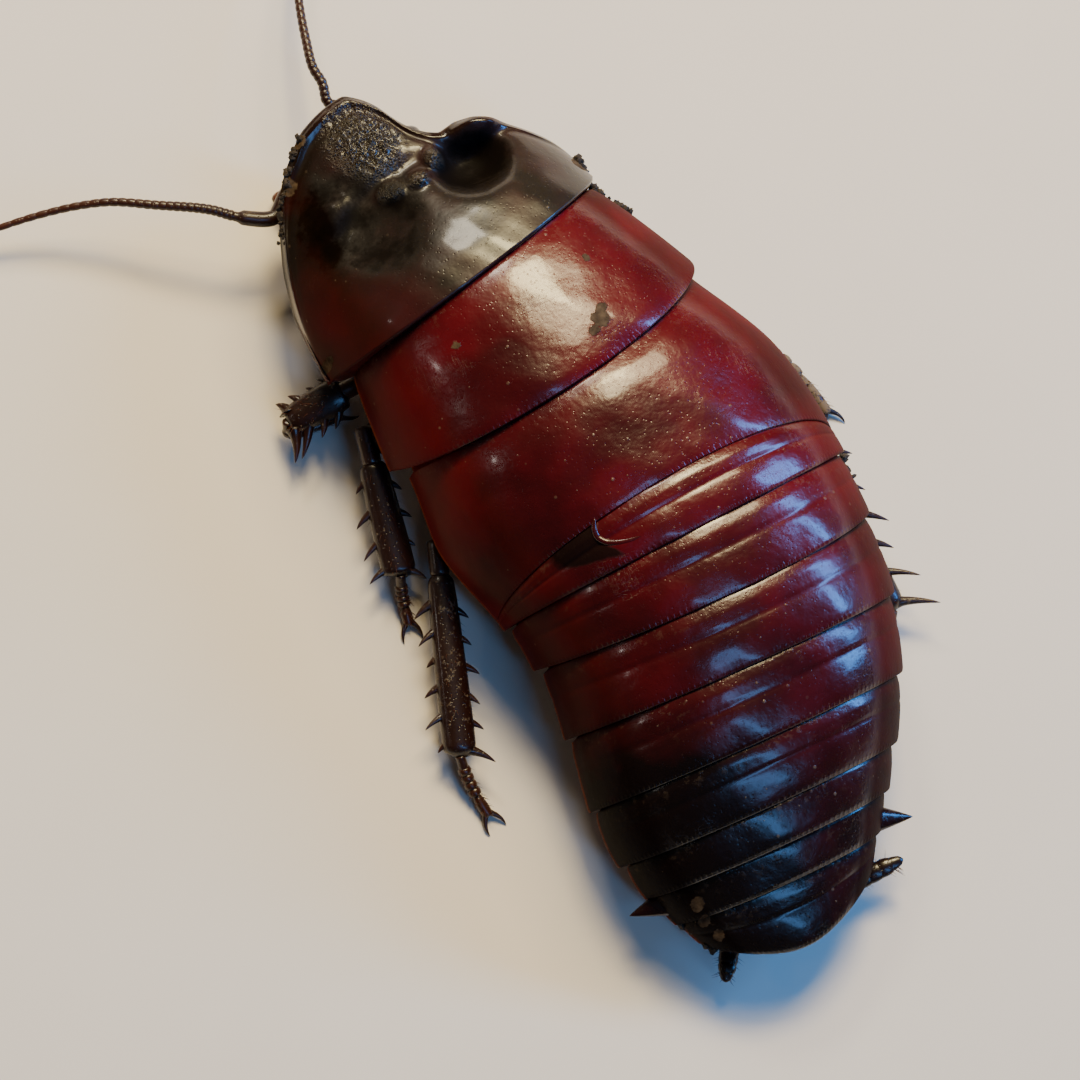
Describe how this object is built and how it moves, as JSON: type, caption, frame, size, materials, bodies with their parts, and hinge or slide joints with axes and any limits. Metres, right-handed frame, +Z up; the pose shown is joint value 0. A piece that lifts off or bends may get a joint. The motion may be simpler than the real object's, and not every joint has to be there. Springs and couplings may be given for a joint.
{
  "type": "giant burrowing cockroach",
  "caption": "Still, life-size museum-style model of an adult male giant burrowing cockroach at rest, its back arched, its tail end swung a little to one side.",
  "frame": {"origin": "on the floor under the middle of the belly, at the flat of the abdomen's first sternite", "axes": "-Y ahead, where the head points, +X to the animal's left, +Z up"},
  "size_m": [0.0608, 0.097, 0.0196],
  "materials": {
    "red_cuticle": "glossy wine-red cuticle",
    "dark_cuticle": "glossy near-black cuticle",
    "black_cuticle": "glossy black cuticle",
    "under_cuticle": "glossy dark brown cuticle",
    "eye_black": "polished black"
  },
  "bodies": {
    "root": {"pronotum": "dark_cuticle", "mesonotum": "red_cuticle", "metanotum": "red_cuticle", "tergite_1": "red_cuticle", "tergite_2": "red_cuticle", "tergite_3": "red_cuticle", "tergite_4": "red_cuticle", "tergite_5": "red_cuticle", "tergite_6": "red_cuticle", "tergite_7": "red_cuticle", "supra_anal_plate": "red_cuticle", "thorax_underside": "under_cuticle", "abdomen_underside": "under_cuticle", "head": "dark_cuticle", "left_eye": "eye_black", "right_eye": "eye_black", "left_feeler_scape": "black_cuticle", "left_feeler_flagellum_base": "black_cuticle", "left_feeler_flagellum_tip": "black_cuticle", "right_feeler_scape": "black_cuticle", "right_feeler_flagellum_base": "black_cuticle", "right_feeler_flagellum_tip": "black_cuticle", "left_palp": "black_cuticle", "right_palp": "black_cuticle", "left_front_coxa": "black_cuticle", "left_front_femur": "black_cuticle", "left_front_tibia": "black_cuticle", "left_front_tarsus": "black_cuticle", "left_mid_coxa": "black_cuticle", "left_mid_femur": "black_cuticle", "left_mid_tibia": "black_cuticle", "left_mid_tarsus": "black_cuticle", "left_hind_coxa": "black_cuticle", "left_hind_femur": "black_cuticle", "left_hind_tibia": "black_cuticle", "left_hind_tarsus": "black_cuticle", "right_front_coxa": "black_cuticle", "right_front_femur": "black_cuticle", "right_front_tibia": "black_cuticle", "right_front_tarsus": "black_cuticle", "right_mid_coxa": "black_cuticle", "right_mid_femur": "black_cuticle", "right_mid_tibia": "black_cuticle", "right_mid_tarsus": "black_cuticle", "right_hind_coxa": "black_cuticle", "right_hind_femur": "black_cuticle", "right_hind_tibia": "black_cuticle", "right_hind_tarsus": "black_cuticle", "left_cercus": "black_cuticle", "right_cercus": "black_cuticle"}
  },
  "joints": []
}
